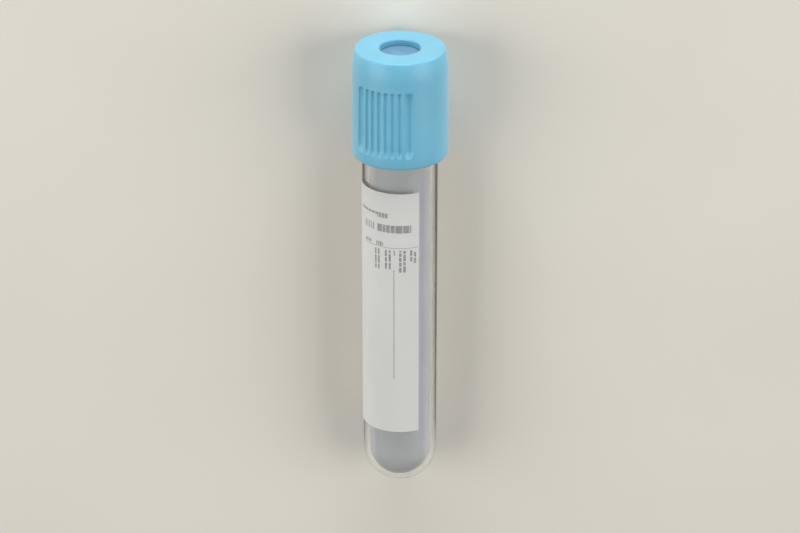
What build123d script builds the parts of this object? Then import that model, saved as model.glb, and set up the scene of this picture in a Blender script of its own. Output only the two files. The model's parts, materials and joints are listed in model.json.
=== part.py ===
from build123d import *
from math import acos, asin, atan2, cos, degrees, hypot, radians, sin, sqrt, tan
import os

# Evacuated blood collection tube, lying on its side as it comes to rest.
# A clear outer tube holds a thin inner tube, and a rubber stopper closes both.
# A plastic shield holds the stopper by its flange and covers the tube's mouth.
#
# Sizes are in millimetres and degrees. Stations are lengths along the tube from
# its closed end, and radii are from the tube's own axis.

os.makedirs("parts", exist_ok=True)

# ---- Outer tube: straight at its closed end, then drafted out to the mouth ----
tube_length = 75.0
tube_radius = 6.5
tube_wall = 1.0
end_taper = 0.1
straight_end = 12.0
tube_rim_round = 0.3

# ---- Inner tube: a slim liner whose top flares out to the outer tube's bore ----
liner_wall = 0.8
liner_air_gap = 0.2
liner_floor_gap = 0.05
liner_fit_gap = 0.02
liner_collar_length = 10.0
liner_flare_length = 3.0
liner_rim_round = 0.2

# ---- Stopper ----
plug_length = 7.0
plug_clearance = 0.04
plug_wall = 2.14
plug_lead_in = 0.6
diaphragm = 4.55
flange_overhang = 0.6
flange_height = 3.0
ledge_width = 1.2
boss_height = 2.75
well_depth = 2.2
well_inset = 0.1

# ---- Closure shield ----
skirt_wall = 1.5
skirt_clearance = 0.25
skirt_overlap = 12.3
skirt_draft = 0.5
band_height = 2.0
foot_round = 0.6
foot_lead_in = 0.3
plate_thickness = 1.2
port_radius = 3.5
port_edge_round = 0.3
shoulder_height = 3.7
shoulder_curve = 14.0
top_edge_round = 0.4
ring_height = 1.0
ring_clearance = 0.12
stopper_gap = 0.05

# ---- Flutes on the skirt: groups with a wider, deeper flute at each end, and smooth panels between ----
flute_groups = 2
narrow_flutes = 6
flute_pitch_angle = 8.3
end_flute_angle = 11.2
flute_group_turn = -21.3
flute_above_foot = 2.1
flute_below_top = 5.1
flute_width = 0.85
flute_depth = 0.3
end_flute_width = 1.5
end_flute_depth = 0.45
flute_runout_curve = 3.0

# ---- Paper label: wraps part of the way round and leaves a clear window ----
label_thickness = 0.1
label_gap = 0.02
label_from_end = 12.0
label_below_skirt = 5.0
label_edge_angle = 29.7
label_window_angle = 80.0

# ---- Citrate solution: a level pool along the lying tube ----
pool_depth = 2.0
pool_gap = 0.03

# ---- Radii and stations that follow from the sizes above ----
end_radius = tube_radius - end_taper
bore_radius = tube_radius - tube_wall
liner_radius = bore_radius - liner_air_gap
liner_bore_radius = liner_radius - liner_wall
collar_radius = bore_radius - liner_fit_gap
collar_bore_radius = collar_radius - liner_wall
liner_floor = end_radius - bore_radius + liner_floor_gap
liner_centre = liner_floor + liner_radius
collar_start = tube_length - liner_collar_length
flare_start = collar_start - liner_flare_length

plug_radius = collar_bore_radius - plug_clearance
plug_end = tube_length - plug_length
flange_radius = tube_radius + flange_overhang
flange_top = tube_length + flange_height
boss_radius = flange_radius - ledge_width
boss_top = flange_top + boss_height
well_radius = port_radius - well_inset
well_floor = boss_top - well_depth
recess_radius = plug_radius - plug_wall
recess_roof = well_floor - diaphragm

skirt_bore_radius = tube_radius + skirt_clearance
band_radius = skirt_bore_radius + skirt_wall
skirt_foot = tube_length - skirt_overlap
band_top = skirt_foot + band_height
plate_under = boss_top + stopper_gap
shield_top = plate_under + plate_thickness

# ---- Resting tilt: the tube's dome and the foot of the skirt both touch the floor ----
foot_centre_radius = band_radius - foot_round
foot_centre_station = skirt_foot + foot_round
contact_run = foot_centre_station - end_radius
contact_span = hypot(contact_run, foot_centre_radius)
tilt = atan2(foot_centre_radius, contact_run) - asin((end_radius - foot_round) / contact_span)

# ---- Shoulder of the shield: an arc from the drafted skirt to the rounded top edge ----
draft = radians(skirt_draft)
shoulder_start = shield_top - shoulder_height
shoulder_foot_radius = band_radius - (shoulder_start - band_top) * tan(draft)
shoulder_centre_radius = shoulder_foot_radius - shoulder_curve * cos(draft)
shoulder_centre_station = shoulder_start - shoulder_curve * sin(draft)
edge_reach = shoulder_curve - top_edge_round
edge_centre_station = shield_top - top_edge_round
edge_rise = edge_centre_station - shoulder_centre_station
edge_centre_radius = shoulder_centre_radius + sqrt(edge_reach**2 - edge_rise**2)
shoulder_top_angle = degrees(asin(edge_rise / edge_reach))

# ---- Frame: origin on the floor, under the middle of the whole object ----
lowest_x = end_radius * cos(tilt) - end_radius
highest_x = edge_centre_station * cos(tilt) + edge_centre_radius * sin(tilt) + top_edge_round
closed_end = Vector(-(lowest_x + highest_x) / 2, 0, end_radius - end_radius * sin(tilt))
along = Vector(cos(tilt), 0, sin(tilt))
upward = Vector(-sin(tilt), 0, cos(tilt))
sideways = Vector(0, -1, 0)
tube_axis = Axis(closed_end, along)


def section(turn=0.0):
    """The plane through the axis at a turn from the top: x is the radius, y the station."""
    outward = upward * cos(radians(turn)) + sideways * sin(radians(turn))
    return Plane(origin=closed_end, x_dir=outward, z_dir=outward.cross(along))


def outside_radius(station):
    """The outer tube's radius at a station on its drafted length."""
    share = (station - straight_end) / (tube_length - tube_rim_round - straight_end)
    return end_radius + share * (tube_radius - end_radius)


# ---- outer_tube: clear moulded tube with a domed end ----
with BuildPart() as outer_tube:
    with BuildSketch(section()):
        with BuildLine():
            CenterArc((0, end_radius), end_radius, -90, 90)
            Polyline(
                (end_radius, end_radius),
                (end_radius, straight_end),
                (tube_radius, tube_length - tube_rim_round),
            )
            CenterArc((tube_radius - tube_rim_round, tube_length - tube_rim_round), tube_rim_round, 0, 90)
            Polyline(
                (tube_radius - tube_rim_round, tube_length),
                (bore_radius, tube_length),
                (bore_radius, end_radius),
            )
            CenterArc((0, end_radius), bore_radius, 0, -90)
            Line((0, end_radius - bore_radius), (0, 0))
        make_face()
    revolve(axis=tube_axis)

# ---- inner_tube: thin liner, its collar fitting the outer tube's bore at the mouth ----
with BuildPart() as inner_tube:
    with BuildSketch(section()):
        with BuildLine():
            CenterArc((0, liner_centre), liner_radius, -90, 90)
            Polyline(
                (liner_radius, liner_centre),
                (liner_radius, flare_start),
                (collar_radius, collar_start),
                (collar_radius, tube_length),
                (collar_bore_radius + liner_rim_round, tube_length),
            )
            CenterArc(
                (collar_bore_radius + liner_rim_round, tube_length - liner_rim_round),
                liner_rim_round, 90, 90,
            )
            Polyline(
                (collar_bore_radius, tube_length - liner_rim_round),
                (collar_bore_radius, collar_start),
                (liner_bore_radius, flare_start),
                (liner_bore_radius, liner_centre),
            )
            CenterArc((0, liner_centre), liner_bore_radius, 0, -90)
            Line((0, liner_floor + liner_wall), (0, liner_floor))
        make_face()
    revolve(axis=tube_axis)

# ---- stopper: plug, flange and boss in one rubber moulding ----
well_curve = (well_radius**2 + well_depth**2) / (2 * well_depth)
recess_dome = recess_roof - recess_radius
with BuildPart() as stopper:
    with BuildSketch(section()):
        with BuildLine():
            Line((0, recess_roof), (0, well_floor))
            CenterArc((0, well_floor + well_curve), well_curve, -90, degrees(asin(well_radius / well_curve)))
            Polyline(
                (well_radius, boss_top),
                (boss_radius, boss_top),
                (boss_radius, flange_top),
                (flange_radius, flange_top),
                (flange_radius, tube_length),
                (plug_radius, tube_length),
                (plug_radius, plug_end + plug_lead_in),
                (plug_radius - plug_lead_in, plug_end),
                (recess_radius, plug_end),
                (recess_radius, recess_dome),
            )
            CenterArc((0, recess_dome), recess_radius, 0, 90)
        make_face()
    revolve(axis=tube_axis)

# ---- closure_shield: moulded cap with a port, a ledge and a ring that hold the stopper ----
ledge_under = flange_top + stopper_gap
ring_top = tube_length - stopper_gap
ring_under = ring_top - ring_height
pocket_radius = flange_radius + stopper_gap
boss_pocket_radius = boss_radius + stopper_gap
ring_radius = tube_radius + ring_clearance


def flute_rod(width, depth):
    """A rod along the drafted skirt at the top that cuts one flute: pointed below, ball-ended above."""
    curve = (width**2 / 4 + depth**2) / (2 * depth)
    runout = sqrt(flute_runout_curve**2 - (flute_runout_curve - depth) ** 2)
    point_angle = degrees(acos((flute_runout_curve - curve) / flute_runout_curve))
    low_station = skirt_foot + flute_above_foot
    low_radius = band_radius - (low_station - band_top) * tan(draft)
    length = (shield_top - flute_below_top - low_station) / cos(draft) - runout - width / 2
    first_radius = low_radius + (curve - depth) * cos(draft) - runout * sin(draft)
    first_station = low_station + (curve - depth) * sin(draft) + runout * cos(draft)
    rod_plane = Plane(
        origin=section().from_local_coords((first_radius, first_station, 0)),
        x_dir=upward * cos(draft) + along * sin(draft),
        z_dir=section().z_dir,
    )
    with BuildPart() as rod:
        with BuildSketch(rod_plane):
            with BuildLine():
                CenterArc((curve - flute_runout_curve, 0), flute_runout_curve, -point_angle, point_angle)
                Line((curve, 0), (curve, length))
                CenterArc((0, length), curve, 0, 90)
                Line((0, length + curve), (0, -flute_runout_curve * sin(radians(point_angle))))
            make_face()
        revolve(axis=Axis(rod_plane.origin, rod_plane.y_dir))
    return rod.part


narrow_rod = flute_rod(flute_width, flute_depth)
wide_rod = flute_rod(end_flute_width, end_flute_depth)
group_turns = [flute_group_turn + group * 360 / flute_groups for group in range(flute_groups)]
narrow_turns = [(index - (narrow_flutes - 1) / 2) * flute_pitch_angle for index in range(narrow_flutes)]
wide_turns = [narrow_turns[0] - end_flute_angle, narrow_turns[-1] + end_flute_angle]

# The profile is drawn in the middle of a smooth panel, so that its seam crosses no flute.
with BuildPart() as closure_shield:
    with BuildSketch(section(flute_group_turn - 180 / flute_groups)):
        with BuildLine():
            CenterArc((foot_centre_radius, foot_centre_station), foot_round, -90, 90)
            Polyline(
                (band_radius, foot_centre_station),
                (band_radius, band_top),
                (shoulder_foot_radius, shoulder_start),
            )
            CenterArc(
                (shoulder_centre_radius, shoulder_centre_station), shoulder_curve,
                skirt_draft, shoulder_top_angle - skirt_draft,
            )
            CenterArc(
                (edge_centre_radius, edge_centre_station), top_edge_round,
                shoulder_top_angle, 90 - shoulder_top_angle,
            )
            Line((edge_centre_radius, shield_top), (port_radius + port_edge_round, shield_top))
            CenterArc((port_radius + port_edge_round, shield_top - port_edge_round), port_edge_round, 90, 90)
            Polyline(
                (port_radius, shield_top - port_edge_round),
                (port_radius, plate_under),
                (boss_pocket_radius, plate_under),
                (boss_pocket_radius, ledge_under),
                (pocket_radius, ledge_under),
                (pocket_radius, ring_top),
                (ring_radius, ring_top),
                (ring_radius, ring_under),
                (skirt_bore_radius, ring_under),
                (skirt_bore_radius, skirt_foot + foot_lead_in),
                (skirt_bore_radius + foot_lead_in, skirt_foot),
                (foot_centre_radius, skirt_foot),
            )
        make_face()
    revolve(axis=tube_axis)
    for group_turn in group_turns:
        for turn in narrow_turns:
            add(narrow_rod.rotate(tube_axis, group_turn + turn), mode=Mode.SUBTRACT)
        for turn in wide_turns:
            add(wide_rod.rotate(tube_axis, group_turn + turn), mode=Mode.SUBTRACT)

# ---- label: paper wrapped round the outer tube, its two long edges beside the window ----
label_top = skirt_foot - label_below_skirt
label_wrap_angle = 360 - label_window_angle
label_low_radius = outside_radius(label_from_end) + label_gap
label_high_radius = outside_radius(label_top) + label_gap
with BuildPart() as label:
    with BuildSketch(section(label_edge_angle - label_wrap_angle)):
        with BuildLine():
            Polyline(
                (label_low_radius, label_from_end),
                (label_low_radius + label_thickness, label_from_end),
                (label_high_radius + label_thickness, label_top),
                (label_high_radius, label_top),
                close=True,
            )
        make_face()
    revolve(axis=tube_axis, revolution_arc=label_wrap_angle)

# ---- citrate_solution: what the inner tube holds below a level surface ----
pool_radius = liner_bore_radius - pool_gap
pool_level = closed_end.Z + liner_centre * sin(tilt) - pool_radius + pool_depth
with BuildPart() as citrate_solution:
    with BuildSketch(section()):
        with BuildLine():
            CenterArc((0, liner_centre), pool_radius, -90, 90)
            Polyline((pool_radius, liner_centre), (pool_radius, flare_start), (0, flare_start))
            Line((0, flare_start), (0, liner_centre - pool_radius))
        make_face()
    revolve(axis=tube_axis)
    split(bisect_by=Plane.XY.offset(pool_level), keep=Keep.BOTTOM)

pieces = {
    "outer_tube": outer_tube,
    "inner_tube": inner_tube,
    "stopper": stopper,
    "closure_shield": closure_shield,
    "label": label,
    "citrate_solution": citrate_solution,
}
for name, piece in pieces.items():
    piece.part.label = name
    export_step(piece.part, f"parts/{name}.step")
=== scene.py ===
import json
from math import acos, asin, ceil, cos, degrees, pi, radians, sin, sqrt, tan
from random import Random

import bpy
from mathutils import Matrix, Vector


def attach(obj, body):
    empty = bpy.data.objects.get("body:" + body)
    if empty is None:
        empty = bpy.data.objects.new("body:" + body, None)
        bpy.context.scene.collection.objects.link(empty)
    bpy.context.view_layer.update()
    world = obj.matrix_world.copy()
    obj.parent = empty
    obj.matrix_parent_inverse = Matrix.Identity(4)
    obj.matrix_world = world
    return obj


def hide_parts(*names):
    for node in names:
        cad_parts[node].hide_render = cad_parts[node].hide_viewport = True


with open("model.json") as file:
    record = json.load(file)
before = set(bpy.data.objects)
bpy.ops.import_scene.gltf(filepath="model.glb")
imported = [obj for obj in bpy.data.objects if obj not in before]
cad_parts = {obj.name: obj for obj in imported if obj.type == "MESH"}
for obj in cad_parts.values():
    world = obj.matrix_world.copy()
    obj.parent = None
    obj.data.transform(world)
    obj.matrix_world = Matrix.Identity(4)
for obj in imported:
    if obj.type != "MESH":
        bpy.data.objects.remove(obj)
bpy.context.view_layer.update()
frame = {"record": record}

# ---------------------------------------------------------------- outer tube
# The outer tube is injection moulded in clear PET, with a domed end and a slight
# draft that opens it towards the mouth. It keeps the vacuum.

# Sizes are in millimetres and turns in degrees. MM makes millimetres into metres.
MM = 0.001
same_point = 1e-5
mounts = {mount["name"]: mount for mount in frame["record"]["mounts"]}
along = Vector(mounts["closure_rim"]["axis"]).normalized()
upward = Vector((-along.z, 0.0, along.x))
sideways = along.cross(upward)

tube_end = mounts["tube_end"]
end_radius = tube_end["dims"]["r_mm"]
straight_end = end_radius + tube_end["dims"]["length_mm"]
closed_end = Vector(tube_end["pos_m"]) - along * (end_radius + straight_end) / 2 * MM

# Every piece is drawn in the tube's own frame: z is the station from the closed end,
# x points to the top of the lying tube, and a turn runs from the top to the -Y side.
tube_frame = Matrix.Translation(closed_end) @ Matrix((upward, sideways, along)).transposed().to_4x4()


def rounded(corners, closed=False, arc_step=7.5, least_steps=3, on_axis=True):
    """An outline through corners of (radius, station, rounding), each rounding drawn as an arc.

    An arc has a point at least every arc_step degrees. on_axis puts the ends of an open
    outline on the tube's axis.
    """
    outline = []
    count = len(corners)
    for index, (radius, station, rounding) in enumerate(corners):
        corner = Vector((radius, station))
        if rounding == 0 or (not closed and index in (0, count - 1)):
            points = [corner]
        else:
            back = (Vector(corners[index - 1][:2]) - corner).normalized()
            ahead = (Vector(corners[(index + 1) % count][:2]) - corner).normalized()
            half = back.angle(ahead) / 2
            centre = corner + (back + ahead).normalized() * rounding / sin(half)
            first = corner + back * rounding / tan(half) - centre
            last = corner + ahead * rounding / tan(half) - centre
            sweep = first.angle_signed(last)
            steps = max(least_steps, ceil(degrees(abs(sweep)) / arc_step))
            points = [
                centre + Matrix.Rotation(-sweep * step / steps, 2) @ first
                for step in range(steps + 1)
            ]
        for point in points:
            if not outline or (point - outline[-1]).length > same_point:
                outline.append(point)
    if on_axis and not closed:
        outline[0].x = 0.0
        outline[-1].x = 0.0
    return outline


def arc(centre_radius, centre_station, size, start, end, steps):
    """Points of (radius, station) on an arc, from one angle in radians to another."""
    return [
        Vector((
            centre_radius + size * cos(start + (end - start) * step / steps),
            centre_station + size * sin(start + (end - start) * step / steps),
        ))
        for step in range(steps + 1)
    ]


def even_turns(count):
    """That many turns, spread evenly round the tube."""
    return [360 * index / count for index in range(count)]


def piece_from(name, vertices, faces, sharp_angle=35):
    """A smooth-shaded object made of vertices in millimetres in the tube's own frame."""
    mesh = bpy.data.meshes.new(name)
    mesh.from_pydata([tube_frame @ (Vector(vertex) * MM) for vertex in vertices], [], faces)
    mesh.validate()
    mesh.shade_smooth()
    mesh.set_sharp_from_angle(angle=radians(sharp_angle))
    piece = bpy.data.objects.new(name, mesh)
    bpy.context.scene.collection.objects.link(piece)
    return piece


def lathe(name, outline, turns, closed=False, sink=None, sharp_angle=35):
    """A piece turned about the tube's axis, with sink(radius, station, turn) taken off each radius."""
    vertices, rings = [], []
    for radius, station in outline:
        first = len(vertices)
        if radius < same_point:
            vertices.append((0.0, 0.0, station))
            rings.append([first] * len(turns))
            continue
        for turn in turns:
            reach = radius - (sink(radius, station, turn) if sink else 0.0)
            vertices.append((reach * cos(radians(turn)), reach * sin(radians(turn)), station))
        rings.append(list(range(first, first + len(turns))))
    pairs = list(zip(rings, rings[1:]))
    if closed:
        pairs.append((rings[-1], rings[0]))
    faces = []
    for low, high in pairs:
        for column in range(len(turns)):
            after = (column + 1) % len(turns)
            corners = [low[column], low[after], high[after], high[column]]
            face = list(dict.fromkeys(corners))
            if len(face) > 2:
                faces.append(face)
    return piece_from(name, vertices, faces, sharp_angle)


def finish(name, low, high, grain, stretch=1.0, rough=(0.3, 0.4), bump=0.0, bump_grain=None):
    """A material whose colour and roughness vary between two values over a grain of that many mm.

    stretch draws the grain out along the tube. bump is the relief's height in mm.
    """
    noise_low, noise_high = 0.3, 0.7
    material = bpy.data.materials.new(name)
    material.use_nodes = True
    nodes, links = material.node_tree.nodes, material.node_tree.links
    shader = nodes["Principled BSDF"]
    coordinates = nodes.new("ShaderNodeTexCoord")
    mapping = nodes.new("ShaderNodeMapping")
    mapping.inputs["Scale"].default_value = (1.0 / stretch, 1.0, 1.0)
    links.new(coordinates.outputs["Object"], mapping.inputs["Vector"])
    noise = nodes.new("ShaderNodeTexNoise")
    noise.inputs["Scale"].default_value = 1 / (grain * MM)
    noise.inputs["Detail"].default_value = 3.0
    links.new(mapping.outputs["Vector"], noise.inputs["Vector"])
    ramp = nodes.new("ShaderNodeValToRGB")
    ramp.color_ramp.elements[0].position = noise_low
    ramp.color_ramp.elements[1].position = noise_high
    ramp.color_ramp.elements[0].color = (*low, 1.0)
    ramp.color_ramp.elements[1].color = (*high, 1.0)
    links.new(noise.outputs["Fac"], ramp.inputs["Fac"])
    links.new(ramp.outputs["Color"], shader.inputs["Base Color"])
    spread = nodes.new("ShaderNodeMapRange")
    spread.inputs["From Min"].default_value = noise_low
    spread.inputs["From Max"].default_value = noise_high
    spread.inputs["To Min"].default_value = rough[0]
    spread.inputs["To Max"].default_value = rough[1]
    links.new(noise.outputs["Fac"], spread.inputs["Value"])
    links.new(spread.outputs["Result"], shader.inputs["Roughness"])
    if bump:
        skin = nodes.new("ShaderNodeTexNoise")
        skin.inputs["Scale"].default_value = 1 / ((bump_grain or grain) * MM)
        skin.inputs["Detail"].default_value = 4.0
        links.new(mapping.outputs["Vector"], skin.inputs["Vector"])
        relief = nodes.new("ShaderNodeBump")
        relief.inputs["Strength"].default_value = 0.5
        relief.inputs["Distance"].default_value = bump * MM
        links.new(skin.outputs["Fac"], relief.inputs["Height"])
        links.new(relief.outputs["Normal"], shader.inputs["Normal"])
    return material


def clear(material, transmission, index, let_through):
    """Lets light pass. Of the lamps' light, a share of let_through goes straight on behind it."""
    nodes, links = material.node_tree.nodes, material.node_tree.links
    shader = nodes["Principled BSDF"]
    shader.inputs["Transmission Weight"].default_value = transmission
    shader.inputs["IOR"].default_value = index
    light_path = nodes.new("ShaderNodeLightPath")
    passing = nodes.new("ShaderNodeBsdfTransparent")
    passing.inputs["Color"].default_value = (let_through, let_through, let_through, 1.0)
    mix = nodes.new("ShaderNodeMixShader")
    links.new(light_path.outputs["Is Shadow Ray"], mix.inputs["Fac"])
    links.new(shader.outputs["BSDF"], mix.inputs[1])
    links.new(passing.outputs["BSDF"], mix.inputs[2])
    links.new(mix.outputs["Shader"], nodes["Material Output"].inputs["Surface"])


def fit(piece, material, body, node):
    """The piece gets its finish, moves with its body and stands for the CAD node."""
    piece.data.materials.append(material)
    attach(piece, body)
    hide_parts(node)


tube_length = 75.0
mouth_radius = 6.5
bore_radius = 5.5
rim_round = 0.3
bore_rim_round = 0.12
tube_columns = 180
gate_radius = 0.95
gate_depth = 0.16
gate_side_slope = 0.1
gate_nub_radius = 0.35
gate_nub_slope = 0.06
gate_nub_top = 0.06

clear_pet = finish("clear_pet", (0.95, 0.965, 0.965), (0.98, 0.985, 0.985), 9, stretch=4,
                   rough=(0.02, 0.05), bump=0.015, bump_grain=5)
clear(clear_pet, transmission=1.0, index=1.57, let_through=0.85)

# The moulding's gate leaves a small dimple with a nub in the middle of the dome.
gate = [
    Vector((0.0, gate_nub_top)),
    Vector((gate_nub_radius, gate_nub_top)),
    Vector((gate_nub_radius + gate_nub_slope, gate_depth)),
    Vector((gate_radius - gate_side_slope, gate_depth)),
]
gate_angle = asin(gate_radius / end_radius)
dome = arc(0.0, end_radius, end_radius, gate_angle - pi / 2, 0.0, steps=22)
dome_bore = arc(0.0, end_radius, bore_radius, 0.0, -pi / 2, steps=20)
dome_bore[-1].x = 0.0
outer_tube = lathe(
    "outer_tube_shell",
    gate + dome + rounded([
        (end_radius, end_radius, 0.0),
        (end_radius, straight_end, 0.0),
        (mouth_radius, tube_length, rim_round),
        (bore_radius, tube_length, bore_rim_round),
        (bore_radius, end_radius, 0.0),
    ], on_axis=False)[1:-1] + dome_bore,
    even_turns(tube_columns),
)
fit(outer_tube, clear_pet, "tube", "outer_tube")

# ---------------------------------------------------------------- inner tube
# The inner tube is a thin liner of natural polypropylene, which keeps the water of
# the solution in. Only its collar touches the outer tube, at the mouth.

liner_wall = 0.8
liner_radius = 5.3
liner_floor = 0.95
collar_radius = 5.48
collar_start = 65.0
collar_rim_round = 0.1
collar_mouth_round = 0.2
flare_start = 62.0
flare_round = 2.0
liner_columns = 144

frosted = finish("frosted_polypropylene", (0.44, 0.447, 0.447), (0.475, 0.48, 0.48), 6, stretch=5,
                 rough=(0.42, 0.5), bump=0.01, bump_grain=2)
clear(frosted, transmission=0.35, index=1.49, let_through=0.6)

inner_tube = lathe(
    "inner_tube_liner",
    rounded([
        (0.0, liner_floor, 0.0),
        (liner_radius, liner_floor, liner_radius),
        (liner_radius, flare_start, flare_round),
        (collar_radius, collar_start, flare_round),
        (collar_radius, tube_length, collar_rim_round),
        (collar_radius - liner_wall, tube_length, collar_mouth_round),
        (collar_radius - liner_wall, collar_start, flare_round),
        (liner_radius - liner_wall, flare_start, flare_round),
        (liner_radius - liner_wall, liner_floor + liner_wall, liner_radius - liner_wall),
        (0.0, liner_floor + liner_wall, 0.0),
    ], arc_step=5),
    even_turns(liner_columns),
)
fit(inner_tube, frosted, "tube", "inner_tube")

# ---------------------------------------------------------------- solution
# The additive is 0.3 mL of buffered citrate in water. It is poured in before the
# stopper goes on, and lies level along the bottom of the inner tube.

watery = finish("citrate_water", (0.90, 0.95, 0.97), (0.94, 0.97, 0.98), 4, rough=(0.0, 0.02))
clear(watery, transmission=1.0, index=1.33, let_through=0.95)

pool_radius = 4.47
pool_depth = 2.0
pool_front = 61.5
meniscus_rise = 0.25
meniscus_width = 0.5
meniscus_fade = 2.0
thin_end_step = 0.01
thin_end_search = 1e-4
dome_rows = 12
straight_rows = 40
across_steps = 16
wall_steps = 16
dome_centre = liner_floor + liner_radius
level = closed_end.z / MM + dome_centre * along.z - pool_radius + pool_depth


def surface_height(station):
    """The level surface's height above the tube's axis, sloping because the tube is tilted."""
    return (level - closed_end.z / MM - station * along.z) / upward.z


def pool_section(station):
    """The pool's half width and surface height at a station, and the bore's radius there."""
    radius = sqrt(max(pool_radius**2 - max(dome_centre - station, 0.0)**2, 0.0))
    height = min(surface_height(station), 0.0)
    return sqrt(max(radius**2 - height**2, 0.0)), height, radius


# The pool's thin end is found by halving the stretch of the dome that it must lie in.
low, high = dome_centre - pool_radius, dome_centre
while high - low > thin_end_search:
    middle_station = (low + high) / 2
    if pool_section(middle_station)[0] > 0:
        high = middle_station
    else:
        low = middle_station
pool_start = high + thin_end_step
pool_stations = [
    pool_start + (dome_centre - pool_start) * (row / dome_rows) ** 2 for row in range(dome_rows)
]
pool_stations += [
    dome_centre + (pool_front - dome_centre) * row / straight_rows
    for row in range(straight_rows + 1)
]

# Each ring of points runs across the surface, which curls up at the wall, and back below it.
vertices, faces = [], []
for station in pool_stations:
    half_width, height, radius = pool_section(station)
    rise = meniscus_rise * min(1.0, half_width / meniscus_fade)
    wall_turn = acos(max(-1.0, min(1.0, (height + rise) / radius)))
    edge = radius * sin(wall_turn)
    for step in range(across_steps + 1):
        side = edge * cos(pi * step / across_steps)
        lift = rise * max(0.0, 1 - (edge - abs(side)) / meniscus_width) ** 2
        vertices.append((height + lift, side, station))
    for step in range(1, wall_steps):
        turn = -wall_turn - (2 * pi - 2 * wall_turn) * step / wall_steps
        vertices.append((radius * cos(turn), radius * sin(turn), station))
loop = across_steps + wall_steps
for ring in range(len(pool_stations) - 1):
    for step in range(loop):
        after = (step + 1) % loop
        a, b = ring * loop + step, ring * loop + after
        faces.append((b, a, a + loop, b + loop))
faces.append(tuple(range(loop)))
faces.append(tuple(range(len(vertices) - 1, len(vertices) - loop - 1, -1)))
pool = piece_from("citrate_pool", vertices, faces, sharp_angle=40)
fit(pool, watery, "tube", "citrate_solution")

# ---------------------------------------------------------------- stopper
# The stopper is one moulding of bromobutyl rubber. Its plug seals the inner
# tube, its flange sits on the rims, and its dished boss shows in the closure's port.
# Its blue-grey colour is partly its own and partly painted light: it is made bluer and
# brighter to stand for light that comes through the blue shield.

plug_end = 68.0
plug_radius = 4.64
plug_chamfer = 0.6
plug_edge_round = 0.2
rubber_round = 0.3
recess_radius = 2.5
recess_roof = 74.0
flange_radius = 7.1
flange_top = 78.0
boss_radius = 5.9
boss_top = 80.75
boss_foot_round = 0.25
well_radius = 3.4
well_depth = 2.2
well_rows = 12
stopper_columns = 120

# Painted light: the rubber's colour is bluer and brighter than its own blue-grey, for light coming
# through the blue shield.
rubber_with_painted_blue_light = finish("stopper_rubber", (0.19, 0.375, 0.52), (0.22, 0.42, 0.575), 1.6,
                rough=(0.55, 0.7), bump=0.03, bump_grain=0.5)

# The well is part of a sphere, drawn as the arc through its rim and its bottom.
well_curve = (well_radius**2 + well_depth**2) / (2 * well_depth)
well_centre = boss_top - well_depth + well_curve
well_angle = asin(well_radius / well_curve)
well = [
    Vector((
        well_curve * sin(well_angle * row / well_rows),
        well_centre - well_curve * cos(well_angle * row / well_rows),
    ))
    for row in range(1, well_rows)
]
stopper_outline = rounded([
    (0.0, recess_roof, 0.0),
    (recess_radius, recess_roof, recess_radius),
    (recess_radius, plug_end, plug_edge_round),
    (plug_radius - plug_chamfer, plug_end, plug_edge_round),
    (plug_radius, plug_end + plug_chamfer, rubber_round),
    (plug_radius, tube_length, 0.0),
    (flange_radius, tube_length, rubber_round),
    (flange_radius, flange_top, rubber_round),
    (boss_radius, flange_top, boss_foot_round),
    (boss_radius, boss_top, rubber_round),
    (well_radius, boss_top, 0.0),
    (0.0, boss_top - well_depth, 0.0),
])
stopper = lathe(
    "stopper_rubber",
    stopper_outline[:-1] + well[::-1] + stopper_outline[-1:],
    even_turns(stopper_columns),
)
fit(stopper, rubber_with_painted_blue_light, "closure", "stopper")

# ---------------------------------------------------------------- closure shield
# The shield is moulded in light-blue polyethylene. A ledge and a ring inside it hold the
# stopper by its flange, and flutes in two groups give the fingers a grip.

skirt_foot = 62.7
foot_round = 0.6
band_radius = mounts["closure_rim"]["dims"]["r_mm"]
band_top = 64.7
shield_top = 82.0
skirt_draft = radians(0.5)
skirt_bore = 6.75
shoulder_start = 78.3
shoulder_curve = 14.0
top_edge_round = 0.4
port_radius = 3.5
port_edge_round = 0.3
ring_top = 74.95
ring_under = 73.95
ledge_under = 78.05
plate_under = 80.8
pocket_radius = 7.15
boss_pocket_radius = 5.95
ring_radius = 6.62
pocket_round = 0.1
ring_round = 0.15
bore_end_round = 0.05
lead_in = 0.3

flute_groups = 2
flute_group_turn = -21.3
narrow_flutes = 6
flute_pitch = 8.3
end_flute_turn = 11.2
flute_width = 0.85
flute_depth = 0.3
end_flute_width = 1.5
end_flute_depth = 0.45
runout_curve = 3.0
flute_low = skirt_foot + 2.1
flute_high = shield_top - 5.1
outside_skin = 0.05

closure_blue = finish("closure_blue", (0.161, 0.461, 0.629), (0.182, 0.503, 0.675), 5, stretch=1.5,
                      rough=(0.34, 0.42), bump=0.012, bump_grain=0.9)
shader = closure_blue.node_tree.nodes["Principled BSDF"]
shader.inputs["Subsurface Weight"].default_value = 0.22
shader.inputs["Subsurface Radius"].default_value = (0.4, 1.0, 1.3)
shader.inputs["Subsurface Scale"].default_value = 1.0 * MM
shader.inputs["Specular IOR Level"].default_value = 0.35
shader.inputs["Sheen Weight"].default_value = 0.4
shader.inputs["Sheen Roughness"].default_value = 0.35
shader.inputs["Sheen Tint"].default_value = (0.8, 0.93, 1.0, 1.0)


def skirt_radius(station):
    """The skirt's outside radius, which its draft narrows above the band."""
    return band_radius - (station - band_top) * tan(skirt_draft)


def runout(depth):
    """The length over which a flute runs out at its lower end."""
    return sqrt(runout_curve**2 - (runout_curve - depth) ** 2)


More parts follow.
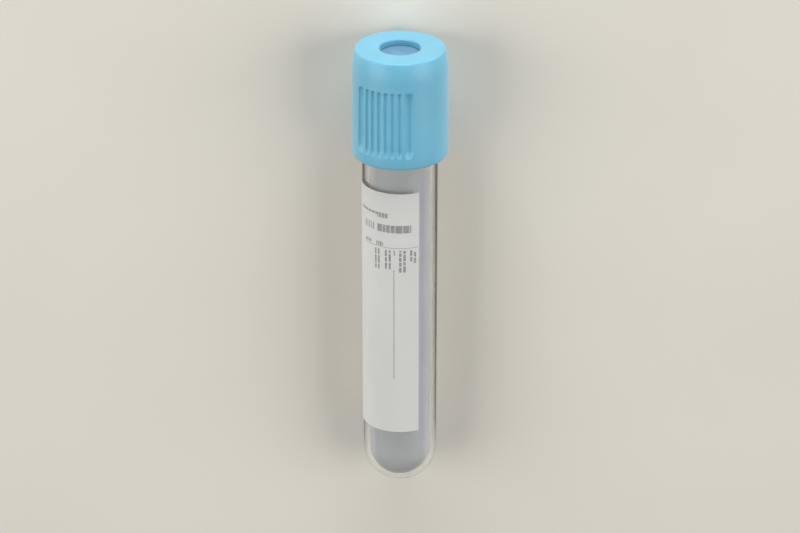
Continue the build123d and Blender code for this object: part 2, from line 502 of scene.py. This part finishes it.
# Each group has a wider, deeper flute at both ends. A flute is (turn, width, depth).
flutes = []
for group in range(flute_groups):
    group_turn = flute_group_turn + group * 360 / flute_groups
    reach = (narrow_flutes - 1) / 2 * flute_pitch
    flutes.append((group_turn - reach - end_flute_turn, end_flute_width, end_flute_depth))
    flutes += [
        (group_turn - reach + index * flute_pitch, flute_width, flute_depth)
        for index in range(narrow_flutes)
    ]
    flutes.append((group_turn + reach + end_flute_turn, end_flute_width, end_flute_depth))


def flute_sink(radius, station, turn):
    """How far the flute at a point sinks the skirt's outside. A flute runs out gently below."""
    if radius < skirt_radius(station) - outside_skin:
        return 0.0
    deepest = 0.0
    for centre, width, depth in flutes:
        across = radians((turn - centre + 180) % 360 - 180) * radius
        curve = (width**2 / 4 + depth**2) / (2 * depth)
        above = station - (flute_high - width / 2)
        below = flute_low + runout(depth) - station
        reach = curve
        if above > 0:
            reach = sqrt(max(curve**2 - above**2, 0.0))
        elif below > 0:
            reach = curve - runout_curve + sqrt(max(runout_curve**2 - below**2, 0.0))
        if abs(across) < reach:
            deepest = max(deepest, sqrt(reach**2 - across**2) - (curve - depth))
    return deepest


# Columns crowd together at each flute, and rows at the flutes' ends. Shares are of a
# flute's half width, and steps are from its end.
across_shares = (-1.12, -1.0, -0.94, -0.82, -0.62, -0.32, 0.0, 0.32, 0.62, 0.82, 0.94, 1.0, 1.12)
shield_turns = [
    centre + share * degrees(width / 2 / band_radius)
    for centre, width, depth in flutes for share in across_shares
]
panel_columns = 36
panel_margin = 7
flutes_per_group = narrow_flutes + 2
for group in range(flute_groups):
    first_turn = flutes[group * flutes_per_group][0]
    last_turn = flutes[(group + 1) * flutes_per_group - 1][0]
    panel_start = last_turn + panel_margin
    panel_end = first_turn + 360 / flute_groups - panel_margin
    shield_turns += [
        panel_start + (panel_end - panel_start) * column / panel_columns
        for column in range(panel_columns + 1)
    ]
shield_turns = sorted(turn % 360 for turn in shield_turns)

low_steps = (
    0.0, 0.03, 0.08, 0.16, 0.27, 0.4, 0.56, 0.74, 0.94, 1.12,
    runout(flute_depth), runout(end_flute_depth),
)
high_steps = (0.0, 0.02, 0.05, 0.1, 0.16, 0.24, 0.33, 0.43, 0.58, 0.75)
middle_rows = 6
edge_row = 0.03
low_rows = [flute_low - edge_row] + [flute_low + step for step in low_steps]
high_rows = [flute_high - step for step in reversed(high_steps)] + [flute_high + edge_row]
middle = [
    low_rows[-1] + (high_rows[0] - low_rows[-1]) * row / middle_rows
    for row in range(1, middle_rows)
]
skirt_rows = [band_top] + low_rows + middle + high_rows + [shoulder_start]

# The shoulder is an arc from the drafted skirt to the rounded top edge.
shoulder_centre_radius = skirt_radius(shoulder_start) - shoulder_curve * cos(skirt_draft)
shoulder_centre_station = shoulder_start - shoulder_curve * sin(skirt_draft)
edge_station = shield_top - top_edge_round
edge_angle = asin((edge_station - shoulder_centre_station) / (shoulder_curve - top_edge_round))
edge_radius = shoulder_centre_radius + (shoulder_curve - top_edge_round) * cos(edge_angle)

foot = arc(band_radius - foot_round, skirt_foot + foot_round, foot_round, -pi / 2, 0, steps=8)
skirt = [Vector((skirt_radius(station), station)) for station in skirt_rows]
shoulder = arc(
    shoulder_centre_radius, shoulder_centre_station, shoulder_curve, skirt_draft, edge_angle, steps=10
)
edge = arc(edge_radius, edge_station, top_edge_round, edge_angle, pi / 2, steps=6)
port_edge = arc(
    port_radius + port_edge_round, shield_top - port_edge_round, port_edge_round, pi / 2, pi, steps=6
)
inside = rounded([
    (port_radius, plate_under, pocket_round),
    (boss_pocket_radius, plate_under, pocket_round),
    (boss_pocket_radius, ledge_under, pocket_round),
    (pocket_radius, ledge_under, pocket_round),
    (pocket_radius, ring_top, pocket_round),
    (ring_radius, ring_top, ring_round),
    (ring_radius, ring_under, ring_round),
    (skirt_bore, ring_under, bore_end_round),
    (skirt_bore, skirt_foot + lead_in, ring_round),
    (skirt_bore + lead_in, skirt_foot, pocket_round),
    (band_radius - foot_round, skirt_foot, 0.0),
    (port_radius, shield_top - port_edge_round, 0.0),
], closed=True, arc_step=22)[:-2]

shield = lathe(
    "closure_shield_skirt",
    foot + skirt + shoulder[1:] + edge[1:] + port_edge + inside,
    shield_turns,
    closed=True,
    sink=flute_sink,
    sharp_angle=50,
)
fit(shield, closure_blue, "closure", "closure_shield")

# ---------------------------------------------------------------- label
# The label is white self-adhesive paper, wrapped part of the way round the outer tube
# so that a window is left. Its print is grey ink.

label_gap = 0.02
label_thickness = 0.1
label_low = 12.0
label_high = 57.7
label_edge = 29.7
label_wrap = 280.0
ink_thickness = 0.008
shortest_word = 0.4

paper = finish("label_paper", (0.675, 0.675, 0.655), (0.72, 0.72, 0.70), 14, rough=(0.5, 0.6),
               bump=0.012, bump_grain=0.35)
clear(paper, transmission=0.0, index=1.45, let_through=0.5)
ink = finish("label_ink", (0.26, 0.26, 0.27), (0.36, 0.36, 0.37), 0.7, rough=(0.45, 0.6))


def tube_radius(station):
    """The outer tube's outside radius, which its draft opens from the straight end to the rim."""
    share = (station - straight_end) / (tube_length - rim_round - straight_end)
    return end_radius + share * (mouth_radius - end_radius)


def patch(low_turn, high_turn, low, high, under, over, most_turn=2.5, most_rise=6.0):
    """Vertices and faces of a thin curved plate on the tube, between two turns and two stations."""
    columns = max(1, ceil((high_turn - low_turn) / most_turn))
    rows = max(1, ceil((high - low) / most_rise))
    vertices, faces = [], []
    for layer in (under, over):
        for row in range(rows + 1):
            station = low + (high - low) * row / rows
            reach = tube_radius(station) + layer
            for column in range(columns + 1):
                turn = radians(low_turn + (high_turn - low_turn) * column / columns)
                vertices.append((reach * cos(turn), reach * sin(turn), station))
    width, layer_size = columns + 1, (columns + 1) * (rows + 1)
    for row in range(rows):
        for column in range(columns):
            a = row * width + column
            low_face = (a, a + width, a + width + 1, a + 1)
            faces.append(low_face)
            faces.append(tuple(corner + layer_size for corner in reversed(low_face)))
    rim = (
        list(range(width))
        + [row * width + columns for row in range(1, rows + 1)]
        + [rows * width + column for column in range(columns - 1, -1, -1)]
        + [row * width for row in range(rows - 1, 0, -1)]
    )
    for here, after in zip(rim, rim[1:] + rim[:1]):
        faces.append((here, after, after + layer_size, here + layer_size))
    return vertices, faces


label_vertices, label_faces = patch(
    label_edge - label_wrap, label_edge, label_low, label_high, label_gap, label_gap + label_thickness
)
label = piece_from("label_sheet", label_vertices, label_faces)
fit(label, paper, "tube", "label")

# The print is plain bars and rules, as (low turn, high turn, low station, high station).
ink_under = label_gap + label_thickness
ink_over = ink_under + ink_thickness
marks = Random(5)
bars = []


def dashes(start, end, longest, gap):
    """Dashes of uneven length like words, as (start, end), with a gap after each."""
    while start < end - gap:
        length = min(marks.uniform(shortest_word, 1.0) * longest, end - start)
        yield start, start + length
        start += length + gap


def words(low_turn, high_turn, station, height, longest, gap):
    """A line of print round the tube."""
    for start, end in dashes(low_turn, high_turn, longest, gap):
        bars.append((start, end, station - height / 2, station + height / 2))


def column_of_words(turn, width, low, high, longest, gap):
    """A line of print along the tube."""
    for start, end in dashes(low, high, longest, gap):
        bars.append((turn - width / 2, turn + width / 2, start, end))


# On the front, lines of (low turn, high turn, station, height, longest word, gap) stand over a
# rule. Below it hang columns of (turn, width, low station), and one long rule runs on down.
for line in (
    (-73, -32, 53.7, 0.45, 6, 1.4),
    (-36, -19, 53.5, 0.9, 5, 1.0),
    (-63, -42, 51.1, 1.3, 3, 2.6),
    (-36, 17, 51.1, 1.4, 11, 1.1),
    (-61, -46, 48.1, 0.6, 4, 1.8),
    (-38, -26, 48.1, 0.8, 4, 1.2),
):
    words(*line)
bars.append((-62, 28, 47.5, 47.58))
column_top = 47.1
for turn, width, low in (
    (-39, 2.8, 43.3), (-33.5, 2.8, 43.3), (-21.5, 3.2, 43.5), (-15.5, 3.2, 43.5), (-8.5, 2.0, 46.2),
    (0.5, 3.8, 43.0), (6.8, 3.8, 43.0), (17, 3.4, 45.0), (23, 3.4, 44.6),
):
    column_of_words(turn, width, low, column_top, longest=1.5, gap=0.2)
bars.append((-9.7, -8.7, 22.5, 43.4))

# On the back, three columns stand under a rule, over one line.
for turn in (-128, -140, -152):
    column_of_words(turn, width=4.5, low=24.0, high=30.0, longest=2.2, gap=0.35)
bars.append((-160, -112, 31.0, 31.1))
words(-158, -118, station=18.0, height=1.1, longest=9, gap=1.4)

print_vertices, print_faces = [], []
for low_turn, high_turn, low, high in bars:
    vertices, faces = patch(low_turn, high_turn, low, high, ink_under, ink_over)
    first = len(print_vertices)
    print_vertices += vertices
    print_faces += [tuple(first + corner for corner in face) for face in faces]
label_print = piece_from("label_print", print_vertices, print_faces)
label_print.data.materials.append(ink)
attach(label_print, "tube")

# ---------------------------------------------------------------- floor and light
# A pale floor lies under the tube. One soft lamp stands beyond the closure and a large
# soft one at each side. Sizes and distances here are in metres.

half_floor = 1.5
floor_drop = 0.00005
lamp_distance = 0.8
pale = finish("floor_pale", (0.737, 0.70, 0.628), (0.764, 0.73, 0.655), 60, rough=(0.6, 0.7))
floor_mesh = bpy.data.meshes.new("floor")
floor_corners = ((-1, -1), (1, -1), (1, 1), (-1, 1))
floor_mesh.from_pydata(
    [(x * half_floor, y * half_floor, 0) for x, y in floor_corners], [], [(0, 1, 2, 3)]
)
floor = bpy.data.objects.new("floor", floor_mesh)
bpy.context.scene.collection.objects.link(floor)
floor.location.z = -floor_drop
floor_mesh.materials.append(pale)

middle_point = closed_end + along * (shield_top / 2 * MM)


def lamp(name, direction, width, height, power):
    """A soft lamp that stands off in a direction and shines on the tube's middle."""
    light = bpy.data.lights.new(name, "AREA")
    light.shape = "RECTANGLE"
    light.size, light.size_y = width, height
    light.energy = power
    holder = bpy.data.objects.new(name, light)
    bpy.context.scene.collection.objects.link(holder)
    outward = Vector(direction).normalized()
    holder.location = middle_point + outward * lamp_distance
    holder.rotation_euler = (-outward).to_track_quat("-Z", "Y").to_euler()


lamp("end_lamp", (1.0, 0.0, 0.21), width=0.7, height=0.3, power=6.2)
for name, side in (("left_lamp", 1.0), ("right_lamp", -1.0)):
    lamp(name, (0.05, side, 0.7), width=0.6, height=0.6, power=4)

world = bpy.data.worlds.new("studio")
bpy.context.scene.world = world
world.use_nodes = True
sky = world.node_tree.nodes["Background"]
sky.inputs["Color"].default_value = (1.0, 0.99, 0.97, 1.0)
sky.inputs["Strength"].default_value = 0.12

# ---------------------------------------------------------------- camera
# The camera looks down on the lying tube from the closure's side, with a long lens and
# the closure at the top of its view.

view_rise = radians(25.7)
view_distance = 0.65
view_lens = 169
view_from = (along * sin(view_rise) + upward * cos(view_rise)).normalized()
camera_data = bpy.data.cameras.new("camera")
camera_data.lens = view_lens
camera = bpy.data.objects.new("camera", camera_data)
bpy.context.scene.collection.objects.link(camera)
view_up = (along - view_from * along.dot(view_from)).normalized()
view_right = view_up.cross(view_from)
turned = Matrix((view_right, view_up, view_from)).transposed()
camera.matrix_world = Matrix.Translation(middle_point + view_from * view_distance) @ turned.to_4x4()
bpy.context.scene.camera = camera
bpy.context.scene.view_settings.view_transform = "Standard"
